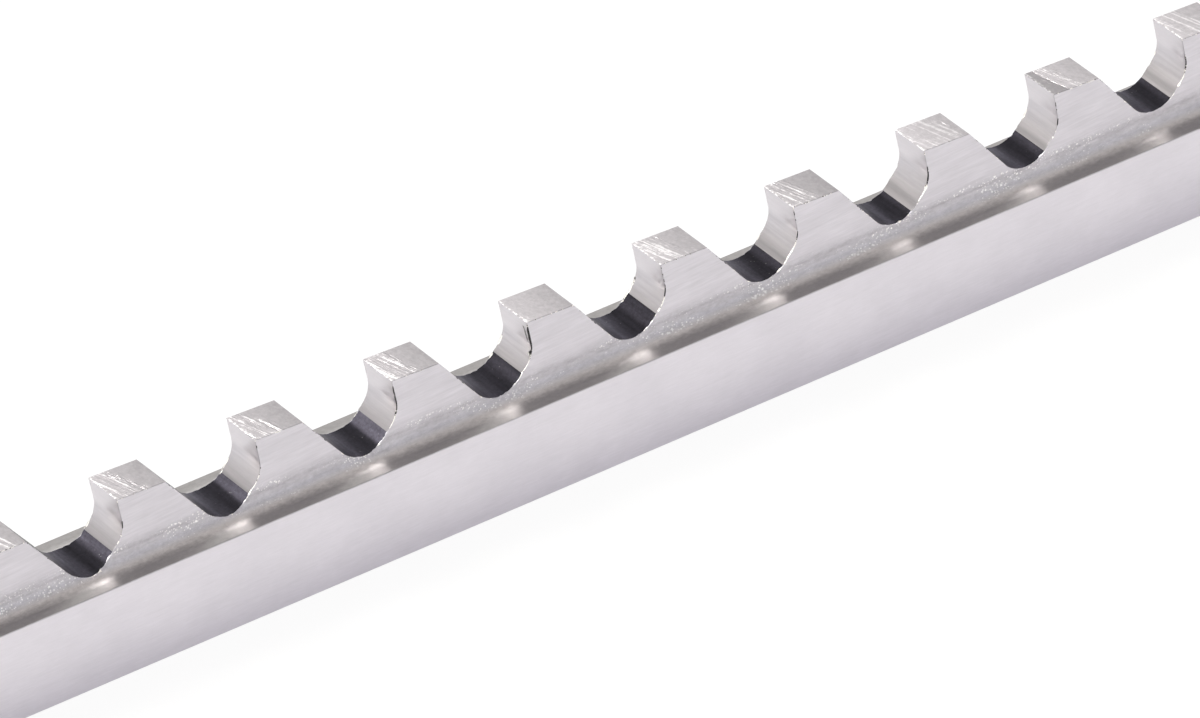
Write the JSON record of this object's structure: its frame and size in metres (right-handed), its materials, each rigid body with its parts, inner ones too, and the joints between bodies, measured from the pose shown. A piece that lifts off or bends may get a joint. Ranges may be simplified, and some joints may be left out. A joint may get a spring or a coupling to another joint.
{
  "type": "keyway broach",
  "caption": "Push broach with a stepped body and a thin toothed rib, for cutting a narrow keyway through a bored hole.",
  "frame": {"origin": "centre of the flat back, midway along the length", "axes": "+X along the broach from the plain front end to the rear end, +Z from the back to the teeth, +Y across the body"},
  "size_m": [0.1714, 0.0048, 0.0096],
  "materials": {
    "ground_steel": "ground bright, with dark unground gullet floors"
  },
  "bodies": {
    "root": {"keyway_broach": "ground_steel"}
  },
  "joints": []
}
